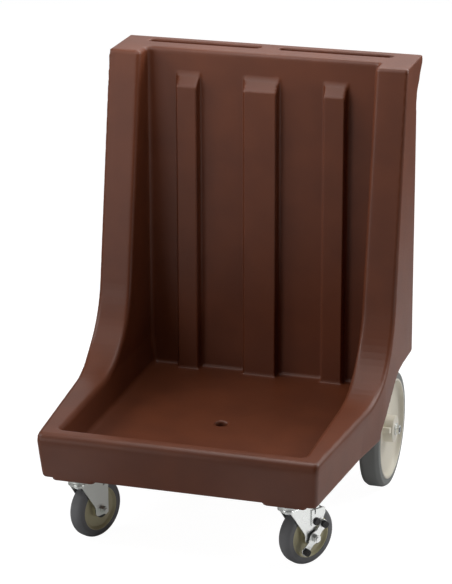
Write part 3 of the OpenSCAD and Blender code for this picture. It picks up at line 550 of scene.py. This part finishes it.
# Casters: a pressed zinc-plated fork with a raceway dish, riveted by a kingpin under a bolted plate; the
# wheel is a khaki polypropylene hub in a dark rubber tyre, between black thread guards.
caster_place = np.array([*pad_place, 0])
swivels = {"left": math.radians(25), "right": math.radians(34)}
trail = 0.045
caster_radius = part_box("left_front_tyre")[1].z / 2
caster_half = 0.016
caster_rim = 0.0465
caster_bore = 0.0106
caster_boss = 0.0166
caster_boss_draft = 0.002
caster_boss_edge = 0.001
caster_web = 0.007
caster_dish = 0.010
caster_dish_rise = 0.006
caster_dish_fillet = 0.003
caster_rim_wall = 0.002
caster_rim_edge = 0.0006
caster_rim_inset = 0.0005
caster_shoulder = 0.0062
caster_shoulder_round = 0.0055
caster_tread_half = 0.0095
caster_tread_round = 0.014
leg_out = 0.023
crown_top = underside - 0.0142
crown_low = crown_top - 0.004
race_top = underside - 0.009
race_radius = 0.025
fork_thickness = 0.003
leg_fore = 0.020
leg_aft = 0.016
leg_foot = 0.011
leg_round = 0.007
leg_waist = 0.008
leg_waist_round = 0.024
leg_crease = 0.019
crease_round = 0.003
crown_round = 0.004
front_wall = 0.008
front_wall_reach = 0.013
front_wall_round = 0.014
nose_half = 0.0195
nose_reach = 0.022
nose_round = 0.017
plan_overrun = 0.040
race_bore = 0.0062
race_wall = 0.003
race_floor_inset = 0.006
race_lip_edge = 0.0008
race_floor_round = 0.002
race_round = 0.003
race_inner_round = 0.001
race_fillet = 0.0015

# The hub's gloss is that of the rear ones; the tyre is a dark rubber; the guards are satin black nylon.
khaki = plastic_material("injection_moulded_khaki_polypropylene", "#bab391", 0.45, 1.49, 0.004)
dark_rubber = plastic_material("moulded_dark_grey_rubber", "#6c6c6e", 0.58, 1.52, 0.003)
black_plastic = plastic_material("moulded_black_nylon", "#2c2e2d", 0.48, 1.53, 0.003)

caster_hub_outline = rounded_outline([
    (-caster_half, caster_bore, 0), (caster_half, caster_bore, 0),
    (caster_half, caster_boss, caster_boss_edge),
    (caster_web, caster_boss + caster_boss_draft, caster_dish_fillet),
    (caster_dish, caster_rim - caster_dish_rise, caster_dish_fillet),
    (caster_half - caster_rim_inset, caster_rim - caster_rim_wall, caster_rim_edge),
    (caster_half - caster_rim_inset, caster_rim, caster_rim_edge),
    (-caster_half + caster_rim_inset, caster_rim, caster_rim_edge),
    (-caster_half + caster_rim_inset, caster_rim - caster_rim_wall, caster_rim_edge),
    (-caster_dish, caster_rim - caster_dish_rise, caster_dish_fillet),
    (-caster_web, caster_boss + caster_boss_draft, caster_dish_fillet),
    (-caster_half, caster_boss, caster_boss_edge)], math.radians(12))
caster_tyre_outline = rounded_outline([
    (-caster_half, caster_rim, bead_edge), (caster_half, caster_rim, bead_edge),
    (caster_half, caster_radius - caster_shoulder, caster_shoulder_round),
    (caster_tread_half, caster_radius, caster_tread_round),
    (-caster_tread_half, caster_radius, caster_tread_round),
    (-caster_half, caster_radius - caster_shoulder, caster_shoulder_round)], math.radians(6))
fork_side = rounded_outline([
    (trail - leg_fore, caster_radius - leg_foot, leg_round),
    (trail + leg_aft, caster_radius - leg_foot, leg_round),
    (trail + leg_aft, crown_top, crown_round), (-race_radius, crown_top, 0),
    (-race_radius, crown_top - front_wall, 0), (-front_wall_reach, crown_top - front_wall, front_wall_round),
    (trail - leg_fore, caster_radius + leg_waist, leg_waist_round)])
fork_plan = rounded_outline([
    (-nose_half, -nose_reach, nose_round), (nose_half, -nose_reach, nose_round),
    (leg_out, trail - leg_crease, crease_round), (leg_out, trail + plan_overrun, 0),
    (-leg_out, trail + plan_overrun, 0), (-leg_out, trail - leg_crease, crease_round)])
race_profile = rounded_outline([
    (race_bore, crown_low, 0), (race_radius - race_floor_inset, crown_low, race_floor_round),
    (race_radius, crown_top, race_round), (race_radius, race_top, race_lip_edge),
    (race_radius - race_wall, race_top, race_lip_edge),
    (race_radius - race_wall, crown_top, race_inner_round), (race_bore, crown_top, 0)])
fork_bend = 0.0035
fork_edge = 0.0006
leg_slot = np.array([trail + 0.003, caster_radius + 0.058])
leg_slot_half_width = 0.0015
leg_slot_half_length = 0.005
leg_slot_round = 0.0014
bolt_hole = 0.00505
hole_edge = 0.0003


def fork_distance(x, v, z):
    """Distance to a fork in its own frame, v along the trail: a wall of sheet round the plan, bent over
    into the crown and trimmed to the side view, with the raceway dish, the slots and the axle hole."""
    plan = outline_distance(x, v, fork_plan)
    outside = common(plan, z - crown_top, fork_bend + fork_thickness)
    inside = common(plan + fork_thickness, z - crown_low, fork_bend)
    sheet = common(common(outside, -inside, fork_edge), outline_distance(v, z, fork_side), fork_edge)
    race = outline_distance(np.hypot(x, v), z, race_profile)
    fork = joined(sheet, race, race_fillet)
    slot = box_distance(v - leg_slot[0], z - leg_slot[1], leg_slot_half_width, leg_slot_half_length,
                        leg_slot_round)
    hole = np.hypot(v - trail, z - caster_radius) - bolt_hole
    return common(common(fork, -slot, hole_edge), -hole, hole_edge)


fork_low = np.array([-race_radius, -race_radius, caster_radius - leg_foot])
fork_high = np.array([race_radius, trail + leg_aft, race_top])
fork_step = 0.0012
fork_skin = skin_of(fork_distance, fork_low, fork_high, fork_step)
for side, outward in (("left", -1), ("right", 1)):
    swivel = swivels[side]
    across = np.array([math.cos(swivel), -math.sin(swivel), 0])
    behind = np.array([math.sin(swivel), math.cos(swivel), 0])
    place = caster_place * (outward, 1, 1)
    to_part = np.stack([across, behind, [0, 0, 1]])
    body = side + "_swivel"
    points, quads, normals = fork_skin
    # The left fork's duller zinc is painted shade and the right fork's bright zinc is painted light; both
    # forks are of one plating.
    piece(side + "_fork_pressing", points @ to_part + place, quads, zinc if side == "left" else bright_zinc,
          body, [side + "_fork"], normals @ to_part)
    wheel_place = place + trail * behind + np.array([0, 0, caster_radius])
    body = side + "_front_wheel"
    points, quads = turned(caster_hub_outline, wheel_place, across, wheel_steps)
    piece(side + "_front_hub_moulding", points, quads, khaki, body,
          [side + "_front_hub"])
    points, quads = turned(caster_tyre_outline, wheel_place, across, wheel_steps)
    piece(side + "_front_tyre_rubber", points, quads, dark_rubber, body,
          [side + "_front_tyre"])
    # The same painted shade on the left caster's plate, race, bolt and nut, and painted light on the right
    # caster's.
    dress(zinc if side == "left" else bright_zinc, side + "_caster_plate", side + "_lower_race",
          side + "_wheel_bolt", side + "_wheel_nut")
    dress(plain_steel, side + "_kingpin", side + "_upper_balls", side + "_lower_balls",
          side + "_wheel_sleeve")
    dress(black_plastic, side + "_thread_guards")
    dress(nylon, side + "_front_bush")
dress(zinc, "caster_bolts")

# Brake of the right caster: a stamped bright rocker on the axle bolt with two grooved rubber foot pads,
# a cam behind it, and a stamped plate with a rubber bumper as its stop.

# Moulded black rubber is the dullest surface here.
black_rubber = plastic_material("moulded_black_rubber", "#2a2a2a", 0.60, 1.52, 0.002)

rocker_in = 0.0263
rocker_out = 0.0293
rocker_arm = 0.034
rocker_boss = 0.013
rocker_half = 0.008
rocker_angle = math.radians(46)
rocker_rim = 0.0015
rocker_fillet = 0.004
rocker_edge = 0.0009
rocker_step = 0.0008
pad_half_length = 0.007
pad_half_width = 0.0085
pad_round = 0.006
pad_top = 0.0363
pad_edge = 0.0018
pad_step = 0.0006
groove_pitch = 0.0035
groove_half = 0.0008
groove_depth = 0.0014
groove_edge = 0.0004
stop_radius = 0.008
stop_foot = 0.0255
stop_top = 0.0303
stop_core = 0.0005
stop_top_round = 0.003
stop_foot_edge = 0.0005
stop_gap = 0.0006
stop_steps = 32
stop_turn = math.asin((pad_half_width + rocker_rim + stop_radius + stop_gap) / rocker_arm)


def rocker_distance(x, u, v):
    """Distance to the rocker, u along its arms: a flat stamping of a boss, a bar and two pad seats, with
    rolled edges and a hole for the bolt."""
    flat = joined(np.hypot(u, v) - rocker_boss, box_distance(u, v, rocker_arm, rocker_half, 0), rocker_fillet)
    seat = box_distance(np.abs(u) - rocker_arm, v, pad_half_length + rocker_rim, pad_half_width + rocker_rim,
                        pad_round + rocker_rim)
    flat = joined(flat, seat, rocker_fillet)
    flat = common(flat, np.abs(x - (rocker_in + rocker_out) / 2) - (rocker_out - rocker_in) / 2, rocker_edge)
    return common(flat, bolt_hole - np.hypot(u, v), hole_edge)


def pad_distance(x, u, v):
    """Distance to the two foot pads: rounded blocks on the seats with grooves across their tops."""
    along = np.abs(u) - rocker_arm
    block = common(box_distance(along, v, pad_half_length, pad_half_width, pad_round),
                   np.maximum(rocker_out - x, x - pad_top), pad_edge)
    nearest = groove_pitch * np.clip(np.round(along / groove_pitch), -1, 1)
    groove = np.maximum(np.abs(along - nearest) - groove_half, pad_top - groove_depth - x)
    return common(block, -groove, groove_edge)


arm = math.cos(rocker_angle) * behind + math.sin(rocker_angle) * np.array([0, 0, 1])
to_part = np.stack([across, arm, np.cross(across, arm)])
reach = np.array([0, rocker_arm + pad_half_length + rocker_rim, rocker_boss])
points, quads, normals = skin_of(rocker_distance, -reach + (rocker_in, 0, 0), reach + (rocker_out, 0, 0),
                                 rocker_step)
piece("brake_rocker_stamping", points @ to_part + wheel_place, quads, bright_zinc, "brake",
      ["brake_rocker"], normals @ to_part)
points, quads, normals = skin_of(pad_distance, -reach + (rocker_out, 0, 0), reach + (pad_top, 0, 0),
                                 pad_step)
piece("brake_foot_pads", points @ to_part + wheel_place, quads, black_rubber, "brake",
      ["brake_pads"], normals @ to_part)
stop_outline = rounded_outline([
    (stop_foot, stop_core, 0), (stop_top, stop_core, 0), (stop_top, stop_radius, stop_top_round),
    (stop_foot, stop_radius, stop_foot_edge)])
stop_arm = (math.cos(rocker_angle + stop_turn) * behind
            + math.sin(rocker_angle + stop_turn) * np.array([0, 0, 1]))
points, quads = turned(stop_outline, wheel_place + rocker_arm * stop_arm, across, stop_steps)
piece("brake_bumper", points, quads, black_rubber, "right_swivel", ["brake_stop"])
dress(bright_zinc, "brake_plate")
dress(black_plastic, "brake_cam")

# Studio: a pale paper floor on a white ground, with soft lamps overhead, at both sides, in front and
# behind. The camera's place, turn and focal length come from a fit to the photograph's edges.
azimuth, elevation, roll = math.radians(16.974), math.radians(19.269), math.radians(-0.169)
camera_place = np.array([1.46377, -4.79974, 2.21874])
image_height = 584
focal_pixels = 2540.98
back = np.array([math.sin(azimuth) * math.cos(elevation), -math.cos(azimuth) * math.cos(elevation),
                 math.sin(elevation)])
level = np.array([math.cos(azimuth), math.sin(azimuth), 0])
upright = np.cross(back, level)
right_hand = math.cos(roll) * level + math.sin(roll) * upright
head = math.cos(roll) * upright - math.sin(roll) * level
camera_data = bpy.data.cameras.new("camera")
camera_data.sensor_width = 36
camera_data.lens = focal_pixels * camera_data.sensor_width / image_height
camera = bpy.data.objects.new("camera", camera_data)
turn = np.eye(4)
turn[:3] = np.stack([right_hand, head, back, camera_place], 1)
camera.matrix_world = Matrix(turn.tolist())
bpy.context.scene.collection.objects.link(camera)
bpy.context.scene.camera = camera

ground_size = 30
floor_points = np.array([[-1, -1, 0], [1, -1, 0], [1, 1, 0], [-1, 1, 0]]) * ground_size
floor_mesh = bpy.data.meshes.new("studio_floor")
floor_mesh.from_pydata(floor_points.tolist(), [], [[0, 1, 2, 3]])
floor_object = bpy.data.objects.new("studio_floor", floor_mesh)
bpy.context.scene.collection.objects.link(floor_object)
floor_paint, tree, shader, place = new_material("studio_paper")
shader.inputs["Base Color"].default_value = linear("#cccccc")
shader.inputs["Roughness"].default_value = 0.9
shader.inputs["Specular IOR Level"].default_value = 0.0
rays = add_node(tree, "LightPath", {})
share = add_node(tree, "Math", {0: rays.outputs["Is Camera Ray"], 1: 0.75}, operation="MULTIPLY")
white = add_node(tree, "Emission", {"Color": (1, 1, 1, 1), "Strength": 1.3})
paper = add_node(tree, "MixShader", {0: share.outputs[0], 1: shader.outputs[0], 2: white.outputs[0]})
tree.links.new(paper.outputs[0], tree.nodes["Material Output"].inputs["Surface"])
floor_mesh.materials.append(floor_paint)

world = bpy.data.worlds.new("studio")
bpy.context.scene.world = world
world.use_nodes = True
tree = world.node_tree
rays = add_node(tree, "LightPath", {})
glow = add_node(tree, "Math", {0: rays.outputs["Is Glossy Ray"], 1: 0.1}, operation="MULTIPLY")
ground = add_node(tree, "Math", {0: rays.outputs["Is Camera Ray"], 1: glow.outputs[0]}, operation="ADD")
tree.nodes["Background"].inputs["Color"].default_value = (1, 1, 1, 1)
tree.links.new(ground.outputs[0], tree.nodes["Background"].inputs["Strength"])


def lamp(name, place, aim, size, watts):
    """A square soft lamp at a place, turned to shine at a point and out of the camera's sight."""
    data = bpy.data.lights.new(name, "AREA")
    data.size = size
    data.energy = watts
    made = bpy.data.objects.new(name, data)
    made.location = place
    made.visible_camera = False
    direction = np.array(aim) - np.array(place)
    made.rotation_euler = (math.atan2(math.hypot(*direction[:2]), -direction[2]), 0,
                           math.atan2(direction[1], direction[0]) - math.pi / 2)
    bpy.context.scene.collection.objects.link(made)


lamp("overhead", (0, 1.1, 2.4), (0, 0, 0.4), 1.6, 25)
lamp("over_tray", (0, -0.05, 1.28), (0, 0, 0.5), 0.5, 1.4)
lamp("overhead_front", (-0.3, -0.3, 1.5), (0, 0.1, 0.5), 0.6, 2.3)
lamp("overhead_right", (0.8, 1.4, 2.0), (0, 0, 0.4), 1.0, 12)
lamp("left_side", (-2.0, -0.6, 1.8), (0, 0, 0.5), 1.0, 22)
lamp("right_rear", (1.6, 0.9, 1.4), (0.2, 0.1, 0.6), 1.0, 21)
lamp("front_left", (-1.4, -2.2, 0.9), (0, 0, 0.4), 1.2, 12)
lamp("right_low", (1.9, -0.7, 0.15), (0.2, -0.25, 0.12), 0.5, 3.5)
lamp("behind", (-1.2, 4.5, 1.6), (0, 0, 0.5), 2.5, 14)

# Small lamps lie on the floor as white cards do, so that the casters' plated steel has light to show.
for name, place, size, watts in (("right_card", (0.52, -0.26, 0.01), 0.36, 0.2),
                                 ("middle_card", (0.02, -0.22, 0.01), 0.36, 0.1),
                                 ("left_front_card", (-0.32, -0.52, 0.01), 0.16, 0.06),
                                 ("right_front_card", (0.12, -0.53, 0.01), 0.16, 0.035)):
    lamp(name, place, (place[0], place[1], 1), size, watts)

bpy.context.scene.view_settings.view_transform = "Standard"
